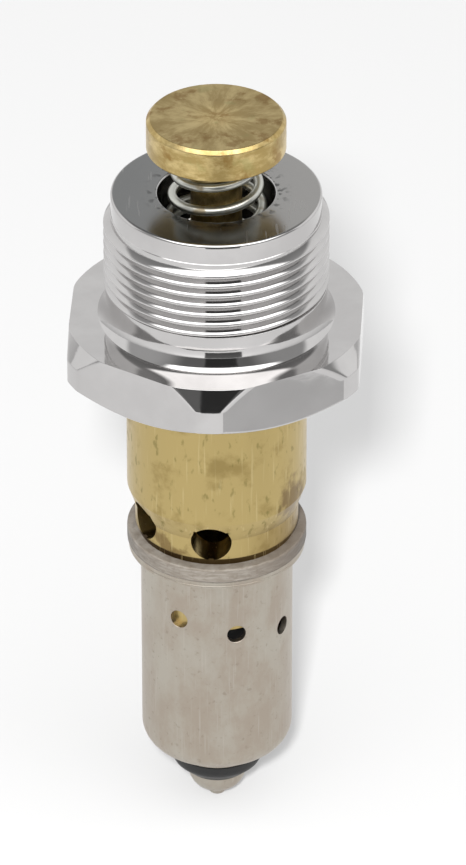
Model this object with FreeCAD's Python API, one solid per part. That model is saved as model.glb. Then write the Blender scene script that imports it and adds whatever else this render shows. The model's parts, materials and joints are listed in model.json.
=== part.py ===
"""Push button cartridge for a urinal flush valve: a sprung brass button on a stem, a plated hexagon
bonnet, a turned brass valve body and a drawn sleeve that holds a metering piston.

Millimetres. Z is the axis of every turned piece and points to the button. The origin is the centre
of the hexagon's underside, where the bare brass barrel of the valve body begins."""

import FreeCAD
import Part
import math
import os

# Fits and gaps
running_fit = 0.05        # radial play of a stem in its guide
seal_fit = 0.03           # radial play left between a seal and what slides in it
seat_gap = 0.05           # play between a valve or stop and its seat at rest
assembly_gap = 0.2        # play between fixed faces that don't seat

# Bonnet: plated brass, turned from hexagon bar
hex_across_flats = 37.0
hex_corner_angle = -93.0  # one corner of the hexagon lies three degrees left of the front
hex_rim_radius = 20.5     # the hexagon's corners are turned down to this
hex_foot_radius = 17.0
foot_chamfer_height = 2.3
band_height = 3.1         # plain part of the corners
slope_height = 2.6        # steep cone above the band
slope_top_radius = 19.3
shoulder_height = 0.5     # the shoulder falls a little outwards
flare_width = 1.85
flare_height = 2.2
shank_inset = 0.1375      # the shank is this much slimmer than the thread
shank_length = 1.8
thread_radius = 14.2875   # 1 1/8 inch
thread_length = 10.2
collar_inset = 0.9375     # the collar is turned down to the thread's root
collar_length = 2.7
collar_edge = 0.4
recess_radius = 7.43
recess_depth = 6.0
recess_edge = 0.3
mouth_gap = 0.25          # the socket's mouth is this much wider than the barrel
mouth_chamfer_height = 0.5

# Button and stem: brass
button_radius = 8.8
button_thickness = 4.38
button_edge_width = 0.5
button_edge_height = 0.6
button_foot_chamfer = 0.25
button_travel = 6.0
landing_gap = 0.46        # left under the button when the stem has travelled
stem_radius = 3.25
stem_tenon_radius = 2.5
stem_tenon_length = 3.0
stem_foot_chamfer = 0.5
foot_gap = 0.2            # from the stem's foot to the piston's nose

# Stem guide and seals
bush_wall = 1.6
bush_length = 6.0
stem_ring_section = 1.78
seal_washer_thickness = 1.2
gland_play = 0.4          # room for the stem's ring to roll in
gland_wall = 1.55
nose_length = 4.2
body_ring_section = 1.4
retaining_ring_width = 1.9
retaining_ring_thickness = 1.0
ring_groove_depth = 0.75
ring_opening = 3.4

# Valve body: brass
barrel_step = 1.72        # from the sleeve's surface out to the barrel's
barrel_length = 17.4
taper_length = 2.9
port_band_inset = 1.01
port_band_length = 2.9
neck_groove_depth = 0.35
neck_groove_length = 0.9
spigot_length = 11.1
spigot_wall = 2.64
head_inset = 1.66         # from the barrel's surface to the screwed head in the bonnet
head_chamfer = 0.5
waterway = 3.15           # from the stem to the chamber's wall
chamber_roof_depth = 12.0
roof_chamfer = 1.2
guide_relief = 0.9
guide_length = 8.0
seat_lip_width = 1.1
seat_lip_height = 0.4
port_radius = 2.62
port_below_taper = 0.3    # from the taper's foot to the ports' centres
port_drillings = (-4.0, -62.0)  # each drilling goes right through both walls

# Gasket and sleeve
gasket_proud = 0.04       # the gasket stands out past the barrel
gasket_thickness = 2.0
gasket_bore_gap = 0.15
sleeve_wall = 0.8
sleeve_flange_inset = 0.2
sleeve_flange_thickness = 1.1
sleeve_flange_fillet = 0.7
sleeve_corner_radius = 4.0
sleeve_cone_angle = 53.0  # from the axis
sleeve_mouth_radius = 4.0
sleeve_rim_width = 1.4    # flat ring between the mouth and the cone
inlet_radius = 1.25
inlet_count = 5
inlet_first_angle = -30.0
inlet_step_angle = 45.0
inlet_first_drop = 9.6    # from the body's shoulder to the first inlet's centre
inlet_step_drop = 1.7

# Metering piston: brass spindle, rubber valve washer and rubber cup
valve_washer_margin = 0.4 # past the seat's lip
valve_washer_thickness = 2.0
spindle_thread_radius = 2.2
spindle_end = 0.4         # thread that shows past its nut
spindle_chamfer = 0.4
valve_nut_across_flats = 8.0
valve_nut_thickness = 2.0
valve_flange_inset = 0.3
valve_flange_thickness = 1.4
neck_radius = 3.2
neck_length = 3.5
head_gap = 0.14
head_thickness = 1.4
cup_thickness = 1.2
cup_depth = 2.8
cup_lip_width = 1.1
cup_flare = 0.25
follower_gap = 0.2
follower_thickness = 1.0
piston_nut_across_flats = 7.0
piston_nut_thickness = 1.8

# Check valve in the sleeve's end
tail_clearance = 0.6
check_travel = 1.2
check_stem_radius = 1.4
check_stem_end = 0.4
check_clip_width = 1.0
check_clip_thickness = 0.4
check_clip_groove = 0.35
check_spring_length = 2.8
guide_flange_gap = 0.13
guide_flange_thickness = 0.8
guide_hole_count = 6
guide_hole_radius = 0.7
check_seal_inset = 0.25
check_seal_taper = 1.6    # the cone is this much slimmer at its foot
check_seal_height = 3.85
check_seal_edge = 0.6
dome_inset = 0.05
dome_height = 1.75
nipple_radius = 1.05
nipple_length = 0.95

# Springs
wire_sides = 10           # flats that stand for the wire's round section
button_wire = 1.25
button_spring_pitch = 3.07
button_spring_top_radius = 5.05
button_spring_side_gap = 0.25
button_spring_front = 0.3  # height above the bonnet at which a turn passes the front
return_wire = 0.7
return_spring_turns = 4.5
return_spring_top_inset = 0.81
return_spring_foot_inset = 0.15
check_wire = 0.35
check_spring_turns = 3.0
check_spring_side_gap = 0.3

# Heights, worked out upwards and downwards from the hexagon's underside
hex_top = foot_chamfer_height + band_height + slope_height
shoulder_top = hex_top + shoulder_height
flare_top = shoulder_top + flare_height
thread_foot = flare_top + shank_length
thread_top = thread_foot + thread_length
bonnet_top = thread_top + collar_length
recess_floor = bonnet_top - recess_depth
button_foot = bonnet_top + button_travel + landing_gap
button_top = button_foot + button_thickness
web_foot = recess_floor - bush_length
nose_top = web_foot - assembly_gap
gland_floor = nose_top - seal_washer_thickness - stem_ring_section - gland_play
head_top = nose_top - nose_length
taper_foot = -barrel_length - taper_length
port_band_foot = taper_foot - port_band_length
body_shoulder = port_band_foot - neck_groove_length
gasket_foot = body_shoulder - gasket_thickness
flange_foot = gasket_foot - sleeve_flange_thickness
spigot_foot = body_shoulder - spigot_length
seat_height = spigot_foot - seat_lip_height
washer_top = seat_height - seat_gap
washer_foot = washer_top - valve_washer_thickness
spindle_top = washer_top + valve_nut_thickness + spindle_end
stem_foot = spindle_top + foot_gap
valve_flange_foot = washer_foot - valve_flange_thickness
head_face = valve_flange_foot - neck_length
head_foot = head_face - head_thickness
cup_foot = head_foot - cup_thickness
follower_foot = cup_foot - follower_thickness
nut_foot = follower_foot - piston_nut_thickness
spindle_foot = nut_foot - spindle_end
check_stem_top = spindle_foot - button_travel - tail_clearance
clip_foot = check_stem_top - check_stem_end - check_clip_thickness
guide_top = clip_foot - check_spring_length
sleeve_floor = guide_top - guide_flange_thickness
sleeve_foot = sleeve_floor - sleeve_wall
check_seal_top = sleeve_foot - seat_gap
check_seal_foot = check_seal_top - check_seal_height
dome_foot = check_seal_foot - dome_height
nipple_foot = dome_foot - nipple_length
ring_top = -chamber_roof_depth - seat_gap

# Radii, worked out from the stem outwards
bush_radius = stem_radius + bush_wall
gland_radius = stem_radius + seal_fit + stem_ring_section + seal_fit
nose_radius = gland_radius + gland_wall
ring_groove_radius = stem_radius - ring_groove_depth
chamber_radius = stem_radius + waterway
seat_lip_radius = chamber_radius + seat_lip_width
valve_washer_radius = seat_lip_radius + valve_washer_margin
valve_flange_radius = valve_washer_radius - valve_flange_inset
sleeve_bore = chamber_radius + spigot_wall
sleeve_radius = sleeve_bore + sleeve_wall
barrel_radius = sleeve_radius + barrel_step
head_radius = barrel_radius - head_inset
port_band_radius = barrel_radius - port_band_inset
gasket_radius = barrel_radius + gasket_proud
sleeve_flange_radius = gasket_radius - sleeve_flange_inset
shank_radius = thread_radius - shank_inset
flare_foot_radius = shank_radius + flare_width
collar_radius = thread_radius - collar_inset
cup_lip_radius = sleeve_bore - seal_fit
cup_root_radius = cup_lip_radius - cup_flare
cup_inner_radius = cup_root_radius - cup_lip_width
follower_radius = cup_inner_radius - follower_gap
return_spring_top_radius = follower_radius - return_wire / 2 - return_spring_top_inset
sleeve_rim_radius = sleeve_mouth_radius + sleeve_rim_width
sleeve_rim_turn = math.radians(90 - sleeve_cone_angle) / 2
sleeve_inner_rim = sleeve_rim_radius - sleeve_wall * math.tan(sleeve_rim_turn)
guide_flange_radius = sleeve_inner_rim - guide_flange_gap
guide_hole_circle = (check_stem_radius + sleeve_mouth_radius) / 2
return_spring_foot_radius = guide_flange_radius - return_wire / 2 - return_spring_foot_inset
clip_groove_radius = check_stem_radius - check_clip_groove
check_seal_radius = sleeve_rim_radius - check_seal_inset
check_seal_foot_radius = check_seal_radius - check_seal_taper
dome_radius = check_seal_foot_radius - dome_inset

UP = FreeCAD.Vector(0, 0, 1)
CENTRE = FreeCAD.Vector(0, 0, 0)


def place(radius, height, angle=0.0):
    """Point at a radius and a height; the angle is in degrees to the right of the front."""
    turn = math.radians(angle)
    return FreeCAD.Vector(radius * math.sin(turn), -radius * math.cos(turn), height)


def turned(*steps):
    """Solid turned about Z. A step is (radius, height), or (radius, height, radius, height) for an
    arc that ends at the first pair and passes through the second."""
    points = [place(*step[:2]) for step in steps]
    edges = []
    for index, step in enumerate(steps):
        start = points[index - 1]
        if len(step) == 4:
            edges.append(Part.Arc(start, place(*step[2:]), points[index]).toShape())
        else:
            edges.append(Part.makeLine(start, points[index]))
    solid = Part.Face(Part.Wire(edges)).revolve(CENTRE, UP, 360)
    return solid if solid.Volume > 0 else solid.reversed()


def ring(inner, outer, foot, top):
    return turned((inner, foot), (outer, foot), (outer, top), (inner, top))


def o_ring(radius, section, height):
    return Part.makeTorus(radius, section / 2, FreeCAD.Vector(0, 0, height), UP)


def hexagon_bar(across_flats, foot, top, corner_angle=0.0):
    corner = across_flats / 2 / math.cos(math.pi / 6)
    turns = [math.radians(corner_angle + 60 * side) for side in range(6)]
    points = [FreeCAD.Vector(corner * math.cos(turn), corner * math.sin(turn), foot) for turn in turns]
    return Part.Face(Part.makePolygon(points + points[:1])).extrude(UP * (top - foot))


def drilling(radius, start, end, height, angle):
    """Round drill that runs out along a radius, from one distance off the axis to another."""
    direction = place(1, 0, angle)
    foot = direction * start + FreeCAD.Vector(0, 0, height)
    return Part.makeCylinder(radius, end - start, foot, direction)


def spring(wire, foot, top, foot_radius, top_radius, turns, start_angle=0.0):
    """Right-hand coil from foot to top, with both ends ground flat. The wire has flats along it."""
    overrun = wire / 4
    height = top - foot - 2 * overrun
    lean = math.degrees(math.atan((top_radius - foot_radius) / height))
    path = Part.makeHelix(height / turns, height, foot_radius, lean)
    turns_of_side = [2 * math.pi * side / wire_sides for side in range(wire_sides)]
    corners = [
        FreeCAD.Vector(foot_radius + wire / 2 * math.cos(turn), 0, wire / 2 * math.sin(turn))
        for turn in turns_of_side]
    section = Part.makePolygon(corners + corners[:1])
    coil = Part.Wire(path.Edges).makePipeShell([section], True, True)
    coil.rotate(CENTRE, UP, start_angle)
    coil.translate(UP * (foot + overrun))
    reach = max(foot_radius, top_radius) + wire
    return coil.common(Part.makeCylinder(reach, top - foot, FreeCAD.Vector(0, 0, foot)))


def snap_ring(inner, width, foot, thickness, opening):
    """Flat ring with a mouth, pushed on from the side."""
    outer = inner + width
    mouth = Part.makeBox(opening, outer, thickness, FreeCAD.Vector(-opening / 2, -outer, foot))
    return ring(inner, outer, foot, foot + thickness).cut(mouth)


def nut(across_flats, bore, foot, top):
    """Hexagon nut with its corners turned down."""
    corner = across_flats / 2 / math.cos(math.pi / 6)
    edge = (corner - across_flats / 2) * math.tan(math.radians(30))
    turned_blank = turned(
        (bore, foot), (across_flats / 2, foot), (corner, foot + edge),
        (corner, top - edge), (across_flats / 2, top), (bore, top))
    return turned_blank.common(hexagon_bar(across_flats, foot, top))


def bonnet():
    flare_middle = math.cos(math.pi / 4)
    edge_middle = collar_edge * (1 - math.cos(math.pi / 4))
    groove_radius = head_radius + body_ring_section
    nose_bore = nose_radius + assembly_gap
    socket_roof = head_top + assembly_gap
    blank = turned(
        (groove_radius, mouth_chamfer_height),
        (barrel_radius + mouth_gap, 0),
        (hex_foot_radius, 0),
        (hex_rim_radius, foot_chamfer_height),
        (hex_rim_radius, foot_chamfer_height + band_height),
        (slope_top_radius, hex_top),
        (flare_foot_radius, shoulder_top),
        (shank_radius, flare_top,
         flare_foot_radius - flare_width * flare_middle, flare_top - flare_height * flare_middle),
        (shank_radius, thread_foot),
        (thread_radius, thread_foot),
        (thread_radius, thread_top),
        (collar_radius, thread_top),
        (collar_radius, bonnet_top - collar_edge),
        (collar_radius - collar_edge, bonnet_top,
         collar_radius - edge_middle, bonnet_top - edge_middle),
        (recess_radius + recess_edge, bonnet_top),
        (recess_radius, bonnet_top - recess_edge),
        (recess_radius, recess_floor),
        (bush_radius, recess_floor),
        (bush_radius, web_foot),
        (nose_bore, web_foot),
        (nose_bore, socket_roof),
        (head_radius, socket_roof),
        (head_radius, body_ring_section),
        (groove_radius, body_ring_section))
    return blank.common(hexagon_bar(hex_across_flats, 0, bonnet_top, hex_corner_angle))


def push_button():
    return turned(
        (0, button_top),
        (0, button_foot + stem_tenon_length),
        (stem_tenon_radius, button_foot + stem_tenon_length),
        (stem_tenon_radius, button_foot),
        (button_radius - button_foot_chamfer, button_foot),
        (button_radius, button_foot + button_foot_chamfer),
        (button_radius, button_top - button_edge_height),
        (button_radius - button_edge_width, button_top))


def stem():
    ring_foot = ring_top - retaining_ring_thickness
    return turned(
        (0, stem_foot),
        (stem_radius - stem_foot_chamfer, stem_foot),
        (stem_radius, stem_foot + stem_foot_chamfer),
        (stem_radius, ring_foot),
        (ring_groove_radius, ring_foot),
        (ring_groove_radius, ring_top),
        (stem_radius, ring_top),
        (stem_radius, button_foot),
        (stem_tenon_radius, button_foot),
        (stem_tenon_radius, button_foot + stem_tenon_length),
        (0, button_foot + stem_tenon_length))


def valve_body():
    guide_bore = stem_radius + running_fit
    relief_radius = guide_bore + guide_relief
    relief_foot = guide_length - chamber_roof_depth
    blank = turned(
        (chamber_radius, seat_height),
        (seat_lip_radius, seat_height),
        (seat_lip_radius, spigot_foot),
        (sleeve_bore, spigot_foot),
        (sleeve_bore, body_shoulder),
        (port_band_radius - neck_groove_depth, body_shoulder),
        (port_band_radius - neck_groove_depth, port_band_foot),
        (port_band_radius, port_band_foot),
        (port_band_radius, taper_foot),
        (barrel_radius, -barrel_length),
        (barrel_radius, 0),
        (head_radius, 0),
        (head_radius, head_top - head_chamfer),
        (head_radius - head_chamfer, head_top),
        (nose_radius, head_top),
        (nose_radius, nose_top),
        (gland_radius, nose_top),
        (gland_radius, gland_floor),
        (relief_radius, gland_floor),
        (relief_radius, relief_foot),
        (guide_bore, relief_foot),
        (guide_bore, -chamber_roof_depth),
        (chamber_radius - roof_chamfer, -chamber_roof_depth),
        (chamber_radius, -chamber_roof_depth - roof_chamfer))
    ports = [
        drilling(port_radius, stem_radius, 2 * barrel_radius, taper_foot - port_below_taper,
                 angle + side)
        for angle in port_drillings for side in (0, 180)]
    return blank.cut(ports)


def sleeve():
    cone = math.radians(sleeve_cone_angle)
    inner_corner = sleeve_corner_radius - sleeve_wall
    corner_width = sleeve_corner_radius * (1 - math.cos(cone))
    cone_width = sleeve_radius - sleeve_rim_radius - corner_width
    corner_top = sleeve_foot + cone_width / math.tan(cone) + sleeve_corner_radius * math.sin(cone)
    corner_centre = sleeve_radius - sleeve_corner_radius

    def on_corner(radius, turn):
        return corner_centre + radius * math.cos(turn), corner_top - radius * math.sin(turn)

    fillet_middle = sleeve_flange_fillet * (1 - math.cos(math.pi / 4))
    shell = turned(
        (sleeve_bore, gasket_foot),
        (sleeve_flange_radius, gasket_foot),
        (sleeve_flange_radius, flange_foot),
        (sleeve_radius + sleeve_flange_fillet, flange_foot),
        (sleeve_radius, flange_foot - sleeve_flange_fillet,
         sleeve_radius + fillet_middle, flange_foot - fillet_middle),
        (sleeve_radius, corner_top),
        on_corner(sleeve_corner_radius, cone) + on_corner(sleeve_corner_radius, cone / 2),
        (sleeve_rim_radius, sleeve_foot),
        (sleeve_mouth_radius, sleeve_foot),
        (sleeve_mouth_radius, sleeve_floor),
        (sleeve_inner_rim, sleeve_floor),
        on_corner(inner_corner, cone),
        (sleeve_bore, corner_top) + on_corner(inner_corner, cone / 2))
    inlets = [
        drilling(inlet_radius, chamber_radius, 2 * sleeve_radius,
                 body_shoulder - inlet_first_drop - step * inlet_step_drop,
                 inlet_first_angle + step * inlet_step_angle)
        for step in range(inlet_count)]
    return shell.cut(inlets)


def piston():
    tail = spindle_thread_radius - spindle_chamfer
    piston_radius = sleeve_bore - head_gap
    return turned(
        (0, spindle_foot),
        (tail, spindle_foot),
        (spindle_thread_radius, spindle_foot + spindle_chamfer),
        (spindle_thread_radius, head_foot),
        (piston_radius, head_foot),
        (piston_radius, head_face),
        (neck_radius, head_face),
        (neck_radius, valve_flange_foot),
        (valve_flange_radius, valve_flange_foot),
        (valve_flange_radius, washer_foot),
        (spindle_thread_radius, washer_foot),
        (spindle_thread_radius, spindle_top - spindle_chamfer),
        (tail, spindle_top),
        (0, spindle_top))


def cup_seal():
    """Rubber cup, open downwards, whose lip flares out to the bore."""
    lip_foot = head_foot - cup_depth
    return turned(
        (spindle_thread_radius, cup_foot),
        (spindle_thread_radius, head_foot),
        (cup_root_radius, head_foot),
        (cup_lip_radius, lip_foot),
        (cup_lip_radius - cup_lip_width / 2, lip_foot),
        (cup_inner_radius, cup_foot))


def check_guide():
    """Flanged bush in the sleeve's end, with a ring of flow holes round the stem's bore."""
    bore = check_stem_radius + running_fit
    blank = turned(
        (bore, sleeve_foot + assembly_gap),
        (sleeve_mouth_radius, sleeve_foot + assembly_gap),
        (sleeve_mouth_radius, sleeve_floor),
        (guide_flange_radius, sleeve_floor),
        (guide_flange_radius, guide_top),
        (bore, guide_top))
    step = 360 / guide_hole_count
    holes = [
        Part.makeCylinder(guide_hole_radius, guide_top - sleeve_foot,
                          place(guide_hole_circle, sleeve_foot, side * step))
        for side in range(guide_hole_count)]
    return blank.cut(holes)


def check_seal():
    return turned(
        (check_stem_radius, check_seal_foot),
        (check_seal_foot_radius, check_seal_foot),
        (check_seal_radius, check_seal_top - check_seal_edge),
        (check_seal_radius, check_seal_top),
        (check_stem_radius, check_seal_top))


def check_poppet():
    """Stem with a clip groove at its top, and a domed head that ends in a nipple."""
    bulge = math.cos(math.pi / 4)
    clip_top = clip_foot + check_clip_thickness
    return turned(
        (0, nipple_foot),
        (nipple_radius, nipple_foot),
        (nipple_radius, dome_foot),
        (dome_radius, check_seal_foot,
         nipple_radius + (dome_radius - nipple_radius) * bulge, check_seal_foot - dome_height * bulge),
        (check_stem_radius, check_seal_foot),
        (check_stem_radius, clip_foot),
        (clip_groove_radius, clip_foot),
        (clip_groove_radius, clip_top),
        (check_stem_radius, clip_top),
        (check_stem_radius, check_stem_top),
        (0, check_stem_top))


def button_spring():
    foot_radius = recess_radius - button_spring_side_gap - button_wire / 2
    turns = (button_foot - recess_floor - button_wire / 2) / button_spring_pitch
    front = bonnet_top + button_spring_front - recess_floor - button_wire / 4
    start_angle = -90 - 360 * (front / button_spring_pitch % 1)
    return spring(button_wire, recess_floor, button_foot, foot_radius, button_spring_top_radius,
                  turns, start_angle)


def return_spring():
    return spring(return_wire, guide_top, follower_foot, return_spring_foot_radius,
                  return_spring_top_radius, return_spring_turns)


def check_spring():
    radius = check_stem_radius + check_spring_side_gap + check_wire / 2
    return spring(check_wire, guide_top, clip_foot, radius, radius, check_spring_turns)


PIECES = {
    "push_button": push_button,
    "stem": stem,
    "retaining_ring": lambda: snap_ring(
        ring_groove_radius, retaining_ring_width, ring_top - retaining_ring_thickness,
        retaining_ring_thickness, ring_opening),
    "button_spring": button_spring,
    "bonnet": bonnet,
    "stem_bush": lambda: ring(stem_radius + running_fit, bush_radius, web_foot, recess_floor),
    "seal_washer": lambda: ring(
        stem_radius + running_fit, gland_radius - seal_fit, nose_top - seal_washer_thickness, nose_top),
    "stem_o_ring": lambda: o_ring(
        (stem_radius + gland_radius) / 2, stem_ring_section, gland_floor + stem_ring_section / 2),
    "body_o_ring": lambda: o_ring(
        head_radius + body_ring_section / 2, body_ring_section - seal_fit, body_ring_section / 2),
    "valve_body": valve_body,
    "gasket": lambda: ring(
        sleeve_bore + gasket_bore_gap, gasket_radius, gasket_foot, body_shoulder),
    "sleeve": sleeve,
    "valve_nut": lambda: nut(
        valve_nut_across_flats, spindle_thread_radius, washer_top, washer_top + valve_nut_thickness),
    "valve_washer": lambda: ring(
        spindle_thread_radius, valve_washer_radius, washer_foot, washer_top),
    "piston": piston,
    "cup_seal": cup_seal,
    "cup_follower": lambda: ring(
        spindle_thread_radius, follower_radius, follower_foot, cup_foot),
    "piston_nut": lambda: nut(
        piston_nut_across_flats, spindle_thread_radius, nut_foot, follower_foot),
    "return_spring": return_spring,
    "check_guide": check_guide,
    "check_poppet": check_poppet,
    "check_seal": check_seal,
    "check_clip": lambda: snap_ring(
        clip_groove_radius, check_clip_width, clip_foot, check_clip_thickness, clip_groove_radius * 2),
    "check_spring": check_spring,
}

os.makedirs("parts", exist_ok=True)
for name, make in PIECES.items():
    piece = make()
    if not piece.isValid() or len(piece.Solids) != 1 or piece.Volume <= 0:
        print("faulty piece:", name, piece.isValid(), len(piece.Solids), piece.Volume)
    piece.exportStep(f"parts/{name}.step")
print("overall length", round(button_top - nipple_foot, 2), "pieces", len(PIECES))
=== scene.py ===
# %% [markdown]
# # Push button cartridge of a urinal flush valve
# A sprung brass button pushes a stem through a chrome-plated hexagon bonnet. Under the hexagon come
# a bare brass barrel with ports, a fibre gasket, a dull plated sleeve and a rubber check valve.
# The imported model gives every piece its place. This file gives the pieces their fine shapes and
# finishes, and a plain studio to stand in.

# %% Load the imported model
import bpy
import json
import math
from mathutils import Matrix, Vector


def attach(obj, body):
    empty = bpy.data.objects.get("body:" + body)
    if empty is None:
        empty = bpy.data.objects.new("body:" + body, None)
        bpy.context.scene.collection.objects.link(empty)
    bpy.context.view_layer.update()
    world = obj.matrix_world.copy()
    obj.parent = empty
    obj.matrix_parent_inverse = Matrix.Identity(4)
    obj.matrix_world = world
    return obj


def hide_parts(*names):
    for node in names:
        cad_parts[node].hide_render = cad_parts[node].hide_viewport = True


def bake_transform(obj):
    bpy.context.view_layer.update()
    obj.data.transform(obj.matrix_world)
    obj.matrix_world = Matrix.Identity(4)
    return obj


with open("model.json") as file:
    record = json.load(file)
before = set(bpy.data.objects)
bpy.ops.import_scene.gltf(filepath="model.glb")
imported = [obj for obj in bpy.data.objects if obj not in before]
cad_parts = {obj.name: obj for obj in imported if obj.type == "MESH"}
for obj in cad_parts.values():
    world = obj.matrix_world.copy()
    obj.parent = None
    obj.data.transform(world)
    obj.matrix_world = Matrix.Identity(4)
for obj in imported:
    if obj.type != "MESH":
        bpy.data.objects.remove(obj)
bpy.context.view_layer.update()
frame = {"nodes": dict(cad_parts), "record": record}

nodes = frame["nodes"]
MM = 0.001

# %% [markdown]
# ## Sizes
# Radii and heights are in millimetres, and heights count from the underside of the hexagon. The
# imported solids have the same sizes, apart from the tapered button spring, the flare and the shoulder
# over the hexagon, the end of the sleeve and the check valve in it, which follow the photograph more
# closely here.

# %% Sizes
BUTTON_RADIUS, BUTTON_FOOT, BUTTON_TOP = 8.8, 31.86, 36.24
STEM_HOLE_RADIUS, STEM_HOLE_DEPTH = 2.5, 3.0
BONNET_TOP, COLLAR_RADIUS = 25.4, 13.35
RECESS_RADIUS, RECESS_FLOOR = 7.43, 19.4
BUSH_BORE, BUSH_FOOT = 4.85, 13.4
RING_BORE, RING_FOOT = 6.84, 9.2
THREAD_ROOT, THREAD_DEPTH, PITCH = 13.42, 0.867, 1.411
THREAD_FOOT, THREAD_TURNS, THREAD_CREST = 12.5, 7.0, 0.3
SHANK_RADIUS, SHANK_FOOT = 14.15, 10.7
FLARE_RADIUS, FLARE_TURN = 4.4, math.radians(38.7)
HEX_APOTHEM, HEX_RIM, HEX_CORNER = 18.5, 20.5, math.radians(-93)
SEAT_RADIUS, CHAMFER_TOP, BAND_TOP = 17.0, 2.3, 5.4
SHOULDER_RADIUS, SHOULDER_TOP = 19.2, 7.95
SCREW_RADIUS, SCREW_MOUTH_RADIUS = 9.9, 11.3
BARREL_RADIUS, TAPER_TOP, TAPER_FOOT = 11.56, -17.4, -20.3
BAND_RADIUS, BAND_FOOT = 10.55, -23.2
GROOVE_RADIUS, BODY_SHOULDER = 10.2, -24.1
SPIGOT_RADIUS, SPIGOT_FOOT = 9.04, -35.2
PORT_RADIUS, PORT_HEIGHT = 2.62, -20.6
GASKET_RADIUS, GASKET_BORE, GASKET_FOOT = 11.6, 9.2, -26.1
FLANGE_RADIUS, FLANGE_FOOT, FLANGE_LINE = 11.4, -27.2, -26.72
SLEEVE_RADIUS, SLEEVE_WALL, SLEEVE_CORNER = 9.84, 0.8, 3.0
CONE, CORNER_TOP = math.radians(70), -54.602
INLET_RADIUS, FIRST_INLET, INLET_STEP, INLETS = 1.25, -33.7, -1.7, 5
NECK_RADIUS, NECK_TOP, NECK_FOOT = 6.0, -58.1, -59.1
NOSE_RADIUS, NOSE_FOOT, MOUTH_RADIUS = 5.5, -60.15, 4.0
GUIDE_BORE, GUIDE_FOOT, GUIDE_TOP = 5.13, -59.35, -58.55
SEAL_RADIUS, SEAL_TOP, SEAL_EDGE = 5.95, -59.15, -60.55
SEAL_FOOT_RADIUS, SEAL_FOOT = 3.9, -62.5
DOME_RADIUS, DOME_HEIGHT, NIPPLE_RADIUS, NIPPLE_FOOT = 3.85, 3.1, 1.05, -66.75
PIN_RADIUS, CLIP_RADIUS, CLIP_TOP, CLIP_FOOT, PIN_TOP = 1.4, 1.05, -55.35, -55.75, -54.95
FOLLOWER_FOOT = -46.15
print("thread diameter in mm:", round(2 * (THREAD_ROOT + THREAD_DEPTH), 2))

# %% [markdown]
# ## Camera
# The photograph looks down at the standing cartridge at about 33 degrees, from nearly a metre away.
# A long lens from there keeps the upright edges almost parallel, as they are in the picture.

# %% Camera
CAMERA_PLACE = (0, -0.7746, 0.4837)
CAMERA_PITCH = math.radians(57.46)
CAMERA_YAW = math.radians(-0.1554)
camera_data = bpy.data.cameras.new("camera")
camera_data.lens = 297.7
camera_data.sensor_width = 36
camera_data.clip_start, camera_data.clip_end = 0.05, 20
camera = bpy.data.objects.new("camera", camera_data)
camera.location = CAMERA_PLACE
camera.rotation_euler = (CAMERA_PITCH, 0, CAMERA_YAW)
bpy.context.scene.collection.objects.link(camera)
bpy.context.scene.camera = camera
bpy.context.scene.view_settings.view_transform = "Standard"
print("camera distance in mm:", round(Vector(CAMERA_PLACE).length / MM))

# %% [markdown]
# ## A short way to write node trees
# A node tree is easier to read as arithmetic. `Wire` holds one output socket. Adding, multiplying or
# dividing wires adds the Math nodes, and `node` adds any other node with its settings and inputs.


# %% Wires
class Wire:
    """One output socket of a node tree, which can be used in arithmetic."""

    def __init__(self, tree, socket=None):
        self.tree, self.socket = tree, socket

    def node(self, kind, settings=None, inputs=None, output=0):
        """Adds a node, sets it up and gives back one of its outputs as a wire."""
        made = self.tree.nodes.new(kind)
        for name, value in (settings or {}).items():
            setattr(made, name, value)
        for name, value in (inputs or {}).items():
            if isinstance(value, Wire):
                self.tree.links.new(value.socket, made.inputs[name])
            else:
                made.inputs[name].default_value = value
        return Wire(self.tree, made.outputs[output] if len(made.outputs) else None)

    def out(self, name):
        """Another output of the node that this wire comes from."""
        return Wire(self.tree, self.socket.node.outputs[name])

    def sum(self, operation, *values):
        return self.node("ShaderNodeMath", {"operation": operation}, dict(enumerate(values)))

    def __add__(self, other):
        return self.sum("ADD", self, other)

    def __sub__(self, other):
        return self.sum("SUBTRACT", self, other)

    def __rsub__(self, other):
        return self.sum("SUBTRACT", other, self)

    def __mul__(self, other):
        return self.sum("MULTIPLY", self, other)

    def __truediv__(self, other):
        return self.sum("DIVIDE", self, other)

    def __pow__(self, other):
        return self.sum("POWER", self, other)

    __radd__, __rmul__ = __add__, __mul__

    def rise(self, low, high, foot=0.0, top=1.0):
        """Smooth step from foot at low to top at high."""
        return self.node("ShaderNodeMapRange", {"interpolation_type": "SMOOTHSTEP"},
                         {"Value": self, "From Min": low, "From Max": high, "To Min": foot, "To Max": top})

    def span(self, low, high, foot=0.0, top=1.0):
        """Smooth step between two lengths in millimetres, for a wire in metres."""
        return self.rise(low * MM, high * MM, foot, top)

    def mix(self, first, second):
        """Mixes two colours by this wire."""
        return self.node("ShaderNodeMix", {"data_type": "RGBA"},
                         {"Factor": self, "A": first, "B": second}, "Result")


def rgb(red, green, blue):
    return (red, green, blue, 1.0)


print("arithmetic on wires: + - * / **, rise, span and mix")

# %% [markdown]
# ## Turned pieces
# Nearly every piece comes off a lathe, so one helper turns a list of steps about the axis. A step is
# a radius, a height and, where the real edge is broken, the size of its rounding. Two close rings
# guard each rounding, so that the flat faces beside it stay flat in the reflections.

# %% Turning
COLUMNS = 192
ROUNDING_PARTS = 4
SHARP = math.radians(32)


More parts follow.
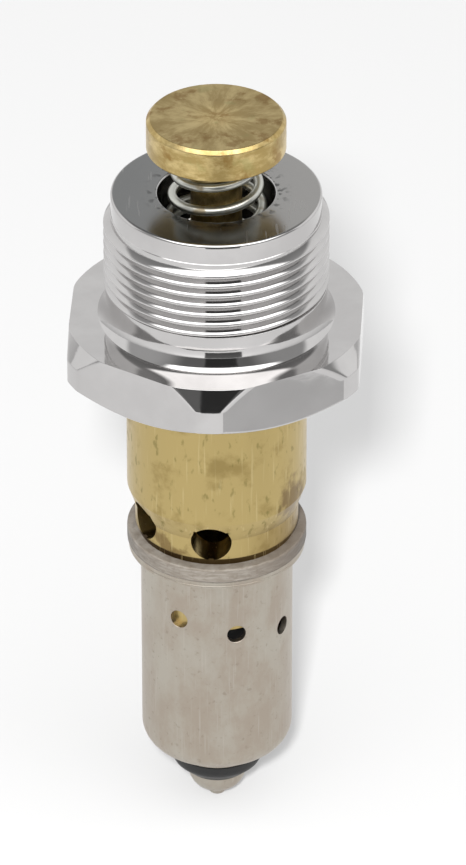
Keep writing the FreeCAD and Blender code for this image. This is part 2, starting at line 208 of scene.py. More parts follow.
def rounded(steps):
    """Replaces the corners that have a rounding by short curves, as a list of (radius, height)."""
    points = []
    for index, step in enumerate(steps):
        here = Vector(step[:2])
        size = step[2] if len(step) > 2 else 0
        if not size:
            points.append(tuple(here))
            continue
        before = Vector(steps[index - 1][:2])
        after = Vector(steps[(index + 1) % len(steps)][:2])
        back, ahead = (before - here), (after - here)
        start = here + back.normalized() * min(size, back.length * 0.45)
        end = here + ahead.normalized() * min(size, ahead.length * 0.45)
        points.append(tuple(start.lerp(start + back, 0.12 * min(1, size / back.length))))
        for part in range(ROUNDING_PARTS + 1):
            t = part / ROUNDING_PARTS
            points.append(tuple(start * (1 - t) ** 2 + here * 2 * t * (1 - t) + end * t ** 2))
        points.append(tuple(end.lerp(end + ahead, 0.12 * min(1, size / ahead.length))))
    return points


def turn_mesh(name, steps, columns=COLUMNS, shape=None):
    """Closed mesh turned about Z from steps in millimetres. shape(angle, radius, height) may change a
    radius, as the hexagon's flats do."""
    profile = rounded(steps)
    verts, rings = [], []
    for radius, height in profile:
        if radius < 1e-6:
            rings.append([len(verts)] * columns)
            verts.append((0, 0, height * MM))
            continue
        rings.append(list(range(len(verts), len(verts) + columns)))
        for column in range(columns):
            angle = 2 * math.pi * column / columns
            reach = shape(angle, radius, height) if shape else radius
            verts.append((reach * math.cos(angle) * MM, reach * math.sin(angle) * MM, height * MM))
    faces = []
    for lower, upper in zip(rings, rings[1:] + rings[:1]):
        for column in range(columns):
            right = (column + 1) % columns
            corners = [lower[column], lower[right], upper[right], upper[column]]
            face = list(dict.fromkeys(corners))
            if len(face) > 2:
                faces.append(face)
    mesh = bpy.data.meshes.new(name)
    mesh.from_pydata(verts, [], faces)
    mesh.validate()
    return mesh


def finish_piece(name, mesh, material, body, replaced):
    """Makes a piece of a mesh, shades it, hides the CAD nodes it replaces and lets it ride on its body when
    the body is a name; otherwise the piece stays where it is.
    """
    mesh.shade_smooth()
    mesh.set_sharp_from_angle(angle=SHARP)
    mesh.materials.clear()
    mesh.materials.append(material)
    piece = bpy.data.objects.new(name, mesh)
    bpy.context.scene.collection.objects.link(piece)
    if isinstance(body, str):
        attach(piece, body)
    else:
        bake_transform(piece)
    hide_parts(*replaced)
    print(name, "triangles:", sum(len(face.vertices) - 2 for face in mesh.polygons))
    return piece


# %% [markdown]
# ## Geometry Nodes
# Springs, thread and drillings follow a rule: so many turns, so many holes, one step further each.
# A small tree with named inputs makes each of them, and its result is then kept as a plain mesh.


# %% Geometry Nodes helpers
def new_tree(name, inputs):
    """Geometry tree with a geometry input and output and named number inputs."""
    tree = bpy.data.node_groups.new(name, "GeometryNodeTree")
    tree.interface.new_socket("Geometry", in_out="OUTPUT", socket_type="NodeSocketGeometry")
    tree.interface.new_socket("Geometry", in_out="INPUT", socket_type="NodeSocketGeometry")
    for label, kind in inputs.items():
        tree.interface.new_socket(label, in_out="INPUT", socket_type=kind)
    return tree, Wire(tree).node("NodeGroupInput")


def close_tree(tree, geometry, material):
    """Ends the tree in Realize Instances and Set Material."""
    real = geometry.node("GeometryNodeRealizeInstances", None, {"Geometry": geometry})
    painted = real.node("GeometryNodeSetMaterial", None, {"Geometry": real, "Material": material})
    painted.node("NodeGroupOutput", None, {"Geometry": painted})


def run_tree(tree, mesh, values):
    """Runs a tree on a mesh and gives back the result as a plain mesh."""
    carrier = bpy.data.objects.new(tree.name, mesh)
    bpy.context.scene.collection.objects.link(carrier)
    modifier = carrier.modifiers.new(tree.name, "NODES")
    modifier.node_group = tree
    for item in tree.interface.items_tree:
        if item.item_type == "SOCKET" and item.in_out == "INPUT" and item.name in values:
            modifier[item.identifier] = values[item.name]
    result = bpy.data.meshes.new_from_object(carrier.evaluated_get(
        bpy.context.evaluated_depsgraph_get()))
    carrier.modifiers.remove(modifier)
    bpy.data.objects.remove(carrier)
    return result


FLOAT, WHOLE, MATERIAL = "NodeSocketFloat", "NodeSocketInt", "NodeSocketMaterial"
print("trees are built next: coil, thread and drillings")

# %% [markdown]
# ### Coil
# A helix is a line whose points are turned about the axis while they rise. The wire is swept along
# it. The pitch closes up over the last part of a turn at each end, as on a real ground spring.


# %% Coil tree
def coil_tree():
    tree, given = new_tree("coil", {
        "Wire Radius": FLOAT, "Turns": FLOAT, "Foot Height": FLOAT, "Top Height": FLOAT,
        "Foot Radius": FLOAT, "Top Radius": FLOAT, "Start Angle": FLOAT, "Dead Share": FLOAT,
        "Material": MATERIAL})
    line = given.node("GeometryNodeCurvePrimitiveLine", None, {"End": (0, 0, 1)})
    fine = given.node("GeometryNodeResampleCurve", None, {"Curve": line, "Count": 260})
    share = given.node("GeometryNodeSplineParameter").out("Factor")
    angle = share * given.out("Turns") * (2 * math.pi) + given.out("Start Angle")
    dead = given.out("Dead Share")
    live = share.sum("SMOOTH_MIN", share.sum("SMOOTH_MAX", share - dead, 0.0, 0.06),
                     1 - dead * 2, 0.06) / (1 - dead * 2)
    radius = given.out("Foot Radius") + (given.out("Top Radius") - given.out("Foot Radius")) * live
    span = given.out("Top Height") - given.out("Foot Height") - given.out("Wire Radius") * 2
    creep = span * (live * 0.9 + share * 0.1)
    height = given.out("Foot Height") + given.out("Wire Radius") + creep
    place = given.node("ShaderNodeCombineXYZ", None, {
        "X": radius * angle.sum("COSINE", angle), "Y": radius * angle.sum("SINE", angle), "Z": height})
    bent = given.node("GeometryNodeSetPosition", None, {"Geometry": fine, "Position": place})
    wire = given.node("GeometryNodeCurvePrimitiveCircle", None,
                      {"Resolution": 16, "Radius": given.out("Wire Radius")})
    swept = given.node("GeometryNodeCurveToMesh", None,
                       {"Curve": bent, "Profile Curve": wire, "Fill Caps": True})
    close_tree(tree, swept, given.out("Material"))
    return tree


coil = coil_tree()
print("coil inputs:", len(coil.interface.items_tree) - 2)

# %% [markdown]
# ### Screw thread
# A thread cut into a solid needs a very fine mesh. It is simpler to turn the bonnet down to the
# thread's root and to sweep one ridge along a helix over it. The ridge has a narrow flat crest, and
# it fades into the core at both ends, as a real thread runs out.


# %% Thread tree
def thread_tree():
    tree, given = new_tree("screw_thread", {
        "Root Radius": FLOAT, "Depth": FLOAT, "Pitch": FLOAT, "Turns": FLOAT, "Crest": FLOAT,
        "Foot Height": FLOAT, "Start Angle": FLOAT, "Run Out": FLOAT, "Material": MATERIAL})
    line = given.node("GeometryNodeCurvePrimitiveLine", None, {"End": (0, 0, 1)})
    fine = given.node("GeometryNodeResampleCurve", None, {"Curve": line, "Count": 1300})
    share = given.node("GeometryNodeSplineParameter").out("Factor")
    angle = share * given.out("Turns") * (2 * math.pi) + given.out("Start Angle")
    height = given.out("Foot Height") + share * given.out("Turns") * given.out("Pitch")
    root = given.out("Root Radius")
    place = given.node("ShaderNodeCombineXYZ", None, {
        "X": root * angle.sum("COSINE", angle), "Y": root * angle.sum("SINE", angle), "Z": height})
    bent = given.node("GeometryNodeSetPosition", None, {"Geometry": fine, "Position": place})
    level = given.node("GeometryNodeSetCurveNormal", {"mode": "Z_UP"}, {"Curve": bent})
    fade = share.sum("MINIMUM", share, 1 - share) / given.out("Run Out")
    sized = given.node("GeometryNodeSetCurveRadius", None,
                       {"Curve": level, "Radius": fade.sum("MINIMUM", fade ** 0.5, 1.0)})
    ridge = given.node("GeometryNodeCurvePrimitiveQuadrilateral", {"mode": "TRAPEZOID"}, {
        "Height": given.out("Depth") * 2, "Bottom Width": given.out("Pitch") * 1.9 - given.out("Crest"),
        "Top Width": given.out("Crest"), "Offset": 0.0})
    eased = given.node("GeometryNodeFilletCurve", {"mode": "POLY"},
                       {"Curve": ridge, "Radius": given.out("Crest") * 0.45, "Count": 2})
    upright = given.node("GeometryNodeTransform", None,
                         {"Geometry": eased, "Rotation": (0, 0, -math.pi / 2)})
    swept = given.node("GeometryNodeCurveToMesh", None,
                       {"Curve": sized, "Profile Curve": upright, "Fill Caps": True})
    both = given.node("GeometryNodeJoinGeometry", None, {"Geometry": given.out("Geometry")})
    tree.links.new(swept.socket, both.socket.node.inputs[0])
    close_tree(tree, both, given.out("Material"))
    return tree


screw_thread = thread_tree()
print("thread inputs:", len(screw_thread.interface.items_tree) - 2)

# %% [markdown]
# ### Drillings
# Ports and inlets are round holes on a ring, each one step further round and one step lower. The
# tree sets a drill on each place of the row and cuts them all out at once. A wider, short drill at
# the surface breaks the hole's edge.


# %% Drilling tree
def drilling_tree():
    tree, given = new_tree("drillings", {
        "Count": WHOLE, "First Angle": FLOAT, "Angle Step": FLOAT, "First Height": FLOAT,
        "Height Step": FLOAT, "Hole Radius": FLOAT, "Surface Radius": FLOAT, "Edge": FLOAT,
        "Material": MATERIAL})
    row = given.node("GeometryNodeMeshLine", None, {"Count": given.out("Count"), "Offset": (0, 0, 0)})
    index = given.node("GeometryNodeInputIndex")
    angle = given.out("First Angle") + index * given.out("Angle Step")
    surface = given.out("Surface Radius")
    place = given.node("ShaderNodeCombineXYZ", None, {
        "X": surface * angle.sum("COSINE", angle), "Y": surface * angle.sum("SINE", angle),
        "Z": given.out("First Height") + index * given.out("Height Step")})
    spread = given.node("GeometryNodeSetPosition", None, {"Geometry": row, "Position": place})
    hole = given.out("Hole Radius")
    drill = given.node("GeometryNodeMeshCylinder", None, {
        "Vertices": 48, "Radius": hole, "Depth": surface * 0.9})
    sink = given.node("GeometryNodeMeshCone", None, {
        "Vertices": 48, "Radius Top": hole + given.out("Edge") * 3, "Radius Bottom": hole - given.out("Edge"),
        "Depth": given.out("Edge") * 4})
    lowered = given.node("GeometryNodeTransform", None, {
        "Geometry": sink, "Translation": given.node(
            "ShaderNodeCombineXYZ", None, {"Z": given.out("Edge") * -2})})
    turn = given.node("FunctionNodeAxisAngleToRotation", None, {"Axis": (0, 0, 1), "Angle": angle})
    lay = given.node("FunctionNodeRotateRotation", {"rotation_space": "LOCAL"}, {
        "Rotation": turn, "Rotate By": (0, math.pi / 2, 0)})
    cutters = []
    for tool in (drill, lowered):
        put = given.node("GeometryNodeInstanceOnPoints", None, {
            "Points": spread, "Instance": tool, "Rotation": lay})
        cutters.append(given.node("GeometryNodeRealizeInstances", None, {"Geometry": put}))
    cut = given.node("GeometryNodeMeshBoolean", {"operation": "DIFFERENCE", "solver": "EXACT"},
                     {"Mesh 1": given.out("Geometry")})
    for cutter in cutters:
        tree.links.new(cutter.socket, cut.socket.node.inputs["Mesh 2"])
    close_tree(tree, cut, given.out("Material"))
    return tree


drillings = drilling_tree()
print("drilling inputs:", len(drillings.interface.items_tree) - 2)


def ring_normals(mesh, low, high):
    """Makes the faces of a turned surface between two heights shade as if nothing had been cut."""
    normals = []
    for face in mesh.polygons:
        centre, normal = face.center, face.normal
        out = Vector((centre.x, centre.y, 0)).normalized()
        across = abs(normal.x * out.y - normal.y * out.x)
        turned = low * MM < centre.z < high * MM and across < 0.03 and abs(normal.dot(out)) > 0.9
        for vertex in face.vertices:
            if turned:
                spoke = Vector((*mesh.vertices[vertex].co.xy, 0)).normalized()
                level = normal.dot(out)
                normals.append((spoke * level + Vector((0, 0, normal.z))).normalized())
            else:
                normals.append((0, 0, 0))
    mesh.normals_split_custom_set(normals)


# %% [markdown]
# ## Finishes
# Each finish is one material. Its pattern is laid out in Object coordinates, in metres, so it stays
# put on the piece in every pose. The patterns are noise at a few sizes: broad stains, fine grain,
# and long thin scratches made by stretching the noise along one axis.


# %% Material helpers
def new_material(name, metallic=1.0):
    material = bpy.data.materials.new(name)
    material.use_nodes = True
    tree = material.node_tree
    surface = tree.nodes["Principled BSDF"]
    surface.inputs["Metallic"].default_value = metallic
    place = Wire(tree).node("ShaderNodeTexCoord", output="Object")
    return material, surface, place


def paint(surface, colour, roughness, relief, depth):
    """Links the finished patterns to the surface. Relief is bumped by a depth in millimetres."""
    tree = surface.id_data
    tree.links.new(colour.socket, surface.inputs["Base Color"])
    if isinstance(roughness, Wire):
        tree.links.new(roughness.socket, surface.inputs["Roughness"])
    else:
        surface.inputs["Roughness"].default_value = roughness
    bump = relief.node("ShaderNodeBump", None,
                       {"Height": relief, "Distance": depth * MM, "Strength": 1.0}, "Normal")
    tree.links.new(bump.socket, surface.inputs["Normal"])


def noise(place, size, detail=2.0, stretch=(1, 1, 1), roughness=0.5):
    """Noise whose patches are about `size` millimetres across, longer where stretch is below 1."""
    moved = place.node("ShaderNodeMapping", None, {"Vector": place, "Scale": stretch})
    return place.node("ShaderNodeTexNoise", None, {
        "Vector": moved, "Scale": 1 / (size * MM), "Detail": detail, "Roughness": roughness}, "Fac")


def apart(place):
    """The x, y and z of a place as three wires."""
    split = place.node("ShaderNodeSeparateXYZ", None, {"Vector": place}, "X")
    return split, split.out("Y"), split.out("Z")


# %% [markdown]
# ## Turned brass
# The button and the stem are bare brass from the lathe, stained brown, with a painted sheen that fans
# out bright from the middle. Such stains could be painted on a texture by hand. Noise needs no texture
# and stays sharp close up, so the fan is noise laid out round the axis, and the stains lie over it.

# %% Turned brass, for the button and the stem
TURNING_PITCH = 0.22


def turned_brass():
    material, surface, place = new_material("turned_brass")
    x, y, z = apart(place)
    radius = (x * x + y * y) ** 0.5
    middle = radius + 0.8 * MM
    spokes = place.node("ShaderNodeCombineXYZ", None, {
        "X": x / middle, "Y": y / middle, "Z": radius * 60 + z * 200})
    fan = spokes.node("ShaderNodeTexNoise", None, {
        "Vector": spokes, "Scale": 2.6, "Detail": 5.0, "Roughness": 0.7}, "Fac")
    # Painted sheen: bright streaks fan out from the middle, as light would catch real turning marks.
    painted_sheen = fan.rise(0.38, 0.66)
    stain = noise(place, 3.6, 5.0, roughness=0.62).rise(0.53, 0.64)
    heart = radius.span(0.6, 3.0, 1.0, 0.0) * noise(place, 1.4, 3.0).rise(0.35, 0.6) * 0.5
    dark = stain.sum("MAXIMUM", stain * 0.75, heart)
    grain = noise(place, 0.25, 2.0)
    bright = painted_sheen.mix(rgb(0.40, 0.29, 0.11), rgb(0.64, 0.50, 0.235))
    # The painted sheen, with the real brown stains mixed over it.
    sheen_and_stains = (dark * 0.85).mix(bright, rgb(0.29, 0.165, 0.042))
    green = noise(place, 3.0, 3.0).rise(0.60, 0.72) * 0.35
    tone = green.mix(sheen_and_stains, rgb(0.34, 0.33, 0.13))
    # Painted shade: the top face of the button is darkened a little towards black.
    tone = (z.span(BUTTON_TOP - 0.04, BUTTON_TOP - 0.01) * 0.24).mix(tone, rgb(0, 0, 0))
    rings = radius * (2 * math.pi / (TURNING_PITCH * MM))
    turning = rings.sum("SINE", rings)
    paint(surface, tone, 0.26 + dark * 0.16 + grain * 0.10, turning * 0.12 + grain, 0.006)
    return material


# %% [markdown]
# ## Raw brass
# The barrel is bare brass that stood in water: dull gold, with green specks, brown stains near the
# ports and fine scratches along it. Each of them is one noise with its own size and stretch, mixed
# over the last one, because each can then be changed without the others. Painted shade darkens the
# barrel just under the hexagon and on its right side.

# %% Raw brass, for the valve body
def raw_brass():
    material, surface, place = new_material("raw_brass")
    x, _, z = apart(place)
    stains = noise(place, 5.5, 5.0, roughness=0.6).rise(0.50, 0.66)
    specks = noise(place, 0.9, 3.0, (1, 1, 0.45)).rise(0.60, 0.72)
    scratches = noise(place, 0.35, 1.0, (1, 1, 0.05)).rise(0.62, 0.74)
    low = z.span(TAPER_FOOT - 0.9, TAPER_TOP - 0.4, 1.0, 0.0)
    tone = stains.mix(rgb(0.475, 0.365, 0.155), rgb(0.37, 0.275, 0.105))
    tone = (specks * 0.55).mix(tone, rgb(0.22, 0.19, 0.06))
    tone = (low * noise(place, 3.4, 4.0).rise(0.54, 0.66) * 0.7).mix(tone, rgb(0.17, 0.105, 0.04))
    # Painted shade: the barrel turns dark brown just under the hexagon, which overhangs it.
    tone = (z.span(-1.2, -0.2) * 0.8).mix(tone, rgb(0.14, 0.07, 0.03))
    groove = z.span(BAND_FOOT, BAND_FOOT + 0.2, 1.0, 0.0) * z.span(BODY_SHOULDER - 0.4, BODY_SHOULDER - 0.2)
    tone = (groove * 0.9).mix(tone, rgb(0.06, 0.035, 0.015))
    # Painted shade: the lower barrel is painted darker towards its right side.
    right = x.span(2.0, 9.5) * low
    tone = (right * 0.75).mix(tone, rgb(0.27, 0.185, 0.07))
    across, along = x - 9.5 * MM, (z + 16.5 * MM) * 0.5
    patch = (across ** 2 + along ** 2) ** 0.5 + noise(place, 1.5, 3.0) * (3 * MM)
    tone = patch.span(2.2, 3.4, 0.75, 0.0).mix(tone, rgb(0.16, 0.10, 0.045))
    tone = (scratches * 0.5).mix(tone, rgb(0.60, 0.49, 0.25))
    paint(surface, tone, 0.30 + stains * 0.14 + specks * 0.12,
          scratches * -1 + noise(place, 0.2), 0.008)
    return material


# %% [markdown]
# ## Chrome plate
# The bonnet is plated mirror bright, but its top is worn dull and pitted. Painted shade makes the top
# darker at the left than at the right, and the inside of the recess nearly black. A second material for
# the top would end at the edge of a face. One material with the height and the radius as masks can end
# anywhere, with a soft edge.

# %% Chrome plate, for the bonnet
def chrome_plate():
    material, surface, place = new_material("chrome_plate")
    x, y, z = apart(place)
    radius = (x * x + y * y) ** 0.5
    top = z.span(BONNET_TOP - 0.05, BONNET_TOP - 0.01)
    pits = noise(place, 0.9, 3.0).rise(0.53, 0.61) * radius.span(7.6, 9.8, 1.0, 0.0)
    scratches = noise(place, 0.5, 1.0, (1, 0.08, 1)).rise(0.66, 0.74)
    haze = noise(place, 6.0, 4.0).rise(0.35, 0.7)
    tone = haze.mix(rgb(0.51, 0.50, 0.495), rgb(0.555, 0.545, 0.54))
    # Painted shade: the worn top face is darker on the left and lighter on the right.
    shade = x.span(-12.0, 12.0).mix(rgb(0.15, 0.155, 0.155), rgb(0.30, 0.295, 0.285))
    tone = (top * 0.9).mix(tone, shade)
    tone = (top * pits * 0.85).mix(tone, rgb(0.05, 0.05, 0.05))
    tone = (top * scratches * 0.3).mix(tone, rgb(0.45, 0.44, 0.43))
    # Painted shade: the inside of the spring recess is painted nearly black.
    recess = radius.span(7.3, 7.6, 1.0, 0.0)
    tone = (recess * 0.9).mix(tone, rgb(0.07, 0.07, 0.065))
    paint(surface, tone, 0.05 + haze * 0.03 + top * 0.13 + top * scratches * 0.12 + recess * 0.3,
          noise(place, 1.6, 3.0) + top * scratches * 0.4 - top * pits * 2, 0.004)
    return material


# %% [markdown]
# ## Nickel plate
# The sleeve is plated dull and slightly warm, with soft clouds, small flecks and the marks of the
# drawing die along it. A photo of such metal would show a seam round the cylinder. Noise in three
# dimensions has none.

# %% Nickel plate, for the sleeve and the check valve's dome
def nickel_plate():
    material, surface, place = new_material("nickel_plate")
    cloud = noise(place, 5.0, 5.0, (1, 1, 0.6), 0.62).rise(0.36, 0.66)
    fleck = noise(place, 0.7, 3.0).rise(0.60, 0.75)
    draw = noise(place, 0.3, 1.0, (1, 1, 0.04)).rise(0.60, 0.76)
    tone = cloud.mix(rgb(0.40, 0.345, 0.285), rgb(0.47, 0.435, 0.375))
    tone = (fleck * 0.35).mix(tone, rgb(0.26, 0.22, 0.17))
    tone = (draw * 0.3).mix(tone, rgb(0.55, 0.52, 0.47))
    paint(surface, tone, 0.36 + cloud * 0.08 + fleck * 0.1, noise(place, 0.22, 3.0) + draw * 0.3, 0.008)
    return material


# %% [markdown]
# ## Steel, rubber, fibre and plastic
# The springs are drawn wire with a little rust, the seals are black rubber, the gasket is layered
# brown fibre, and the hidden guides are white plastic. These pieces are small or dark, so a colour
# and one or two noises are enough for each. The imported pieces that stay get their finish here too.

# %% Steel, rubber, fibre and plastic
def spring_steel():
    material, surface, place = new_material("spring_steel")
    rust = noise(place, 2.2, 4.0).rise(0.55, 0.7)
    tone = rust.mix(rgb(0.54, 0.545, 0.50), rgb(0.34, 0.29, 0.20))
    paint(surface, tone, 0.28 + rust * 0.2, noise(place, 0.3, 2.0), 0.006)
    return material


def black_rubber():
    material, surface, place = new_material("black_rubber", metallic=0.0)
    dust = noise(place, 1.2, 4.0).rise(0.5, 0.75)
    paint(surface, dust.mix(rgb(0.004, 0.004, 0.004), rgb(0.012, 0.011, 0.010)),
          0.45 + dust * 0.2, noise(place, 0.4, 3.0), 0.02)
    return material


def fibre():
    material, surface, place = new_material("fibre", metallic=0.0)
    layers = noise(place, 1.5, 3.0, (1, 1, 6)).rise(0.35, 0.7)
    fluff = noise(place, 0.5, 3.0).rise(0.5, 0.75)
    x, _, _ = apart(place)
    tone = layers.mix(rgb(0.10, 0.086, 0.070), rgb(0.145, 0.131, 0.113))
    # Painted shade: the gasket is painted darker towards its right side.
    tone = (x.span(2.0, 10.0) * 0.6).mix(tone, rgb(0.068, 0.052, 0.038))
    paint(surface, (fluff * 0.5).mix(tone, rgb(0.075, 0.06, 0.045)), 0.5, layers + fluff, 0.02)
    return material


def acetal():
    material, surface, place = new_material("acetal", metallic=0.0)
    cloud = noise(place, 2.0, 3.0)
    paint(surface, cloud.mix(rgb(0.78, 0.77, 0.73), rgb(0.86, 0.85, 0.82)), 0.4, cloud, 0.004)
    return material


FINISHES = {
    "turned_brass": turned_brass(), "raw_brass": raw_brass(), "chrome_plate": chrome_plate(),
    "nickel_plate": nickel_plate(), "spring_steel": spring_steel(), "black_rubber": black_rubber(),
    "fibre": fibre(), "acetal": acetal(),
}
SLOTS = {row["node"]: row["material_slot"] for row in frame["record"]["subparts"]}
for node_name, node in nodes.items():
    node.data.materials.clear()
    node.data.materials.append(FINISHES[SLOTS[node_name]])
print("finishes:", sorted(FINISHES))

# %% [markdown]
# ## Button and stem
# The button is a thick brass disc. Its upper edge has a bright chamfer and its lower edge is broken
# by hand. The stem screws into a blind hole under it.

# %% Button
DISH = 0.03
button_steps = [
    (0, BUTTON_TOP - DISH), (1.2, BUTTON_TOP - DISH), (4.0, BUTTON_TOP - DISH / 2),
    (BUTTON_RADIUS - 0.45, BUTTON_TOP, 0.1), (BUTTON_RADIUS, BUTTON_TOP - 0.5, 0.12),
    (BUTTON_RADIUS, BUTTON_FOOT + 0.16, 0.08), (BUTTON_RADIUS - 0.15, BUTTON_FOOT, 0.06),
    (STEM_HOLE_RADIUS + 0.5, BUTTON_FOOT, 0.1), (STEM_HOLE_RADIUS, BUTTON_FOOT + 0.5),
    (STEM_HOLE_RADIUS, BUTTON_FOOT + STEM_HOLE_DEPTH), (0, BUTTON_FOOT + STEM_HOLE_DEPTH)]
finish_piece("button_disc", turn_mesh("button_disc", button_steps), FINISHES["turned_brass"],
             "button", ["push_button"])

# %% [markdown]
# ## Button spring
# About two turns show between the button and the bonnet. The coil is wider at its foot, so that it
# stands in the recess.

# %% Springs
ORIGIN_MESH = bpy.data.meshes.new("nothing")


def spring(name, wire, foot, top, foot_radius, top_radius, turns, start, dead, bodies):
    mesh = run_tree(coil, ORIGIN_MESH, {
        "Wire Radius": wire / 2 * MM, "Turns": turns, "Foot Height": foot * MM, "Top Height": top * MM,
        "Foot Radius": foot_radius * MM, "Top Radius": top_radius * MM,
        "Start Angle": math.radians(start), "Dead Share": dead, "Material": FINISHES["spring_steel"]})
    live = (top - foot) * 0.1
    finish_piece(name + "_coil", mesh, FINISHES["spring_steel"],
                 (*bodies, (0, 0, (foot + live) * MM), (0, 0, (top - live) * MM)),
                 [name])


spring("button_spring", 1.25, RECESS_FLOOR, BUTTON_FOOT, 6.25, 4.75, 4.8, 104, 0.14,
       ("housing", "button"))
spring("return_spring", 0.7, GUIDE_TOP, FOLLOWER_FOOT, 4.5, 6.3, 5.5, 0, 0.1,
       ("housing", "piston_set"))
spring("check_spring", 0.35, GUIDE_TOP, CLIP_FOOT, 1.875, 1.875, 4.0, 0, 0.12,
       ("housing", "check_valve"))

# %% [markdown]
# ## Bonnet
# The bonnet is turned from hexagon bar. A turned profile runs round it, and each ring is drawn in
# where a flat of the hexagon lies closer to the axis. A smooth minimum of the two radii leaves the
# softly polished edges that plated brass has.

# %% Bonnet
POLISH = 0.24


def hexagon(angle, radius, height):
    """Radius of the turned and milled blank, with the edge between both softened."""
    if height > SHOULDER_TOP + 0.65 or radius < SEAT_RADIUS - 0.5:
        return radius
    turn = (angle - HEX_CORNER) % (math.pi / 3) - math.pi / 6
    flat = HEX_APOTHEM / math.cos(turn)
    share = max(0.0, min(1.0, 0.5 + (flat - radius) / (2 * POLISH)))
    return flat * (1 - share) + radius * share - POLISH * share * (1 - share)


def run(first, last, parts):
    """Points on a straight line between two steps, without the first."""
    return [tuple(a + (b - a) * part / parts for a, b in zip(first, last)) for part in range(1, parts + 1)]


flare_centre = SHANK_RADIUS + FLARE_RADIUS
flare = [(flare_centre - FLARE_RADIUS * math.cos(turn), SHANK_FOOT - FLARE_RADIUS * math.sin(turn))
         for turn in [FLARE_TURN * part / 16 for part in range(16, -1, -1)]]
seat, rim = (SEAT_RADIUS, 0), (HEX_RIM, CHAMFER_TOP)
band, edge = (HEX_RIM, BAND_TOP), (SHOULDER_RADIUS, SHOULDER_TOP)
bonnet_steps = [
    (SCREW_MOUTH_RADIUS, 0.5), (SCREW_MOUTH_RADIUS + 0.51, 0, 0.1), (*seat, 0.4),
    *run(seat, rim, 26)[2:], *run(rim, band, 24), *run(band, edge, 34)[:-1], (*edge, 0.12),
    *run(edge, (18.3, SHOULDER_TOP), 12), (16.5, SHOULDER_TOP), (15.2, SHOULDER_TOP), *flare,
    (SHANK_RADIUS, THREAD_FOOT - 0.05, 0.06), (THREAD_ROOT, THREAD_FOOT), (THREAD_ROOT, 22.65),
    (COLLAR_RADIUS, 22.72), (COLLAR_RADIUS, BONNET_TOP, 0.42), (RECESS_RADIUS, BONNET_TOP, 0.3),
    (RECESS_RADIUS, RECESS_FLOOR, 0.2), (BUSH_BORE, RECESS_FLOOR), (BUSH_BORE, BUSH_FOOT),
    (RING_BORE, BUSH_FOOT), (RING_BORE, RING_FOOT), (SCREW_RADIUS, RING_FOOT), (SCREW_RADIUS, 1.4),
    (SCREW_MOUTH_RADIUS, 1.4)]
blank = turn_mesh("bonnet_blank", bonnet_steps, 384, hexagon)
bonnet_mesh = run_tree(screw_thread, blank, {
    "Root Radius": THREAD_ROOT * MM, "Depth": THREAD_DEPTH * MM, "Pitch": PITCH * MM,
    "Turns": THREAD_TURNS, "Crest": THREAD_CREST * MM, "Foot Height": (THREAD_FOOT - 0.29) * MM,
    "Start Angle": math.radians(90), "Run Out": 0.02, "Material": FINISHES["chrome_plate"]})
finish_piece("bonnet_body", bonnet_mesh, FINISHES["chrome_plate"], "housing", ["bonnet"])

# %% [markdown]
# ## Valve body
# The barrel is plain turned brass. Two drillings right through both walls give four ports. The
# spigot under the neck groove shows through the small holes of the sleeve.

# %% Valve body
SEAT_BORE, SEAT_FOOT, CHAMBER_TOP = 3.3, -12.0, -4.0
body_steps = [
    (6.4, SPIGOT_FOOT - 0.4), (7.5, SPIGOT_FOOT - 0.4, 0.1), (7.5, SPIGOT_FOOT),
    (SPIGOT_RADIUS, SPIGOT_FOOT, 0.15), (SPIGOT_RADIUS, BODY_SHOULDER), (GROOVE_RADIUS, BODY_SHOULDER),
    (GROOVE_RADIUS, BAND_FOOT), (BAND_RADIUS, BAND_FOOT, 0.12), (BAND_RADIUS, TAPER_FOOT),
    (BARREL_RADIUS, TAPER_TOP, 0.08), (BARREL_RADIUS, TAPER_TOP + 0.4), (BARREL_RADIUS, -1.0),
    (BARREL_RADIUS, 0, 0.12), (SCREW_RADIUS, 0), (SCREW_RADIUS, RING_FOOT - 0.2, 0.4),
    (RING_BORE - 0.2, RING_FOOT - 0.2), (RING_BORE - 0.2, BUSH_FOOT - 0.2), (5.09, BUSH_FOOT - 0.2),
    (5.09, 9.83), (4.2, 9.83), (4.2, CHAMBER_TOP), (SEAT_BORE, CHAMBER_TOP), (SEAT_BORE, SEAT_FOOT),
    (5.2, SEAT_FOOT), (6.4, SEAT_FOOT - 1.2)]
body_mesh = turn_mesh("valve_barrel", body_steps)
for first_angle in (-4, 176):
    body_mesh = run_tree(drillings, body_mesh, {
        "Count": 2, "First Angle": math.radians(first_angle - 90), "Angle Step": math.radians(-58),
        "First Height": PORT_HEIGHT * MM, "Height Step": 0.0, "Hole Radius": PORT_RADIUS * MM,
        "Surface Radius": (BAND_RADIUS + 0.15) * MM, "Edge": 0.1 * MM, "Material": FINISHES["raw_brass"]})
barrel = finish_piece("valve_barrel", body_mesh, FINISHES["raw_brass"], "housing",
                      ["valve_body"])
ring_normals(barrel.data, BAND_FOOT + 0.1, -0.2)

# %% [markdown]
# ## Gasket
# The gasket is a flat ring of hard fibre between barrel and sleeve. A cylinder with a bevel modifier
# would do. A turned profile rounds each worn edge by its own amount without a modifier.

# %% Gasket
gasket_steps = [
    (GASKET_BORE, GASKET_FOOT), (GASKET_RADIUS, GASKET_FOOT, 0.25), (GASKET_RADIUS, BODY_SHOULDER, 0.25),
    (GASKET_BORE, BODY_SHOULDER)]
finish_piece("gasket_ring", turn_mesh("gasket_ring", gasket_steps), FINISHES["fibre"], "housing",
             ["gasket"])

# %% [markdown]
# ## Sleeve
# The sleeve is a cup drawn from sheet, with a rolled flange, a rounded shoulder, a cone and a short
# neck. Five small inlets run down round it in a row. One boolean modifier for each inlet would work.
# The drilling tree makes the whole row from a count and a step, and `ring_normals` keeps the wall
# smooth round the holes.

# %% Sleeve
def shoulder(radius, order):
    """Points on the rounded shoulder of the sleeve, at a radius about the shoulder's centre."""
    centre = SLEEVE_RADIUS - SLEEVE_CORNER
    return [(centre + radius * math.cos(CONE * part / 8), CORNER_TOP - radius * math.sin(CONE * part / 8))
            for part in order]


